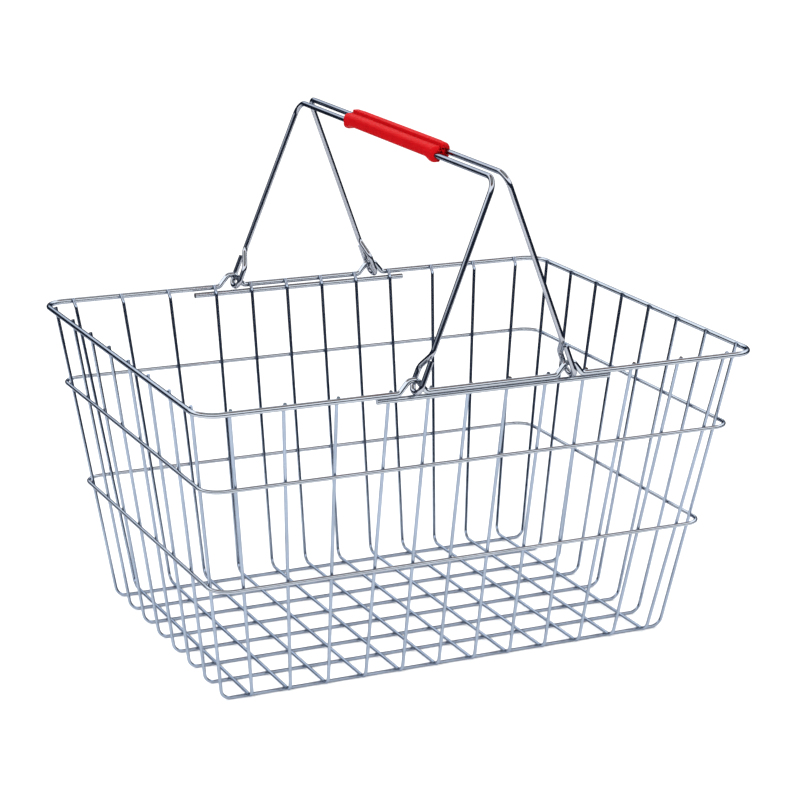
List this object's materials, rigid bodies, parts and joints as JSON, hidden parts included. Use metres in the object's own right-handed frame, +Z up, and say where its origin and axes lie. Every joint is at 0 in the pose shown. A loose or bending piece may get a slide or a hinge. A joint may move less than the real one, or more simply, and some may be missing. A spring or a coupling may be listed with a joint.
{
  "type": "wire hand basket",
  "caption": "Open hand basket of welded bright wire with sloping walls, a hooped rim and paired fold-down wire handles sharing a split plastic grip",
  "frame": {"origin": "centre of the bounding box in plan, on the underside of the lowest bottom wires", "axes": "+X along the long side, +Y along the short side from front to back, +Z up out of the open top"},
  "size_m": [0.433, 0.3452, 0.3771],
  "materials": {
    "wall_wire": "bright plated drawn wire",
    "hoop_wire": "bright plated drawn wire",
    "rim_wire": "bright plated drawn wire",
    "brace_wire": "bright plated drawn wire",
    "handle_wire": "bright plated drawn wire",
    "grip_plastic": "moulded red plastic with a soft gloss"
  },
  "bodies": {
    "basket": {"long_wire_01": "wall_wire", "long_wire_02": "wall_wire", "long_wire_03": "wall_wire", "long_wire_04": "wall_wire", "long_wire_05": "wall_wire", "long_wire_06": "wall_wire", "long_wire_07": "wall_wire", "long_wire_08": "wall_wire", "long_wire_09": "wall_wire", "long_wire_10": "wall_wire", "long_wire_11": "wall_wire", "long_wire_12": "wall_wire", "short_wire_1": "wall_wire", "short_wire_2": "wall_wire", "short_wire_3": "wall_wire", "short_wire_4": "wall_wire", "short_wire_5": "wall_wire", "short_wire_6": "wall_wire", "short_wire_7": "wall_wire", "short_wire_8": "wall_wire", "rim": "rim_wire", "upper_hoop": "hoop_wire", "lower_hoop": "hoop_wire", "front_brace": "brace_wire", "back_brace": "brace_wire"},
    "left_bail": {"left_handle": "handle_wire", "left_grip_half": "grip_plastic"},
    "right_bail": {"right_handle": "handle_wire", "right_grip_half": "grip_plastic"}
  },
  "joints": [
    {"name": "left_handle_fold", "type": "hinge", "parent": "basket", "child": "left_bail", "pos_m": [-0.0582, 0, 0.22585], "axis": [0, -1, 0], "range_deg": [0, 100]},
    {"name": "right_handle_fold", "type": "hinge", "parent": "basket", "child": "right_bail", "pos_m": [0.0626, 0, 0.22585], "axis": [0, 1, 0], "range_deg": [0, 100]}
  ]
}
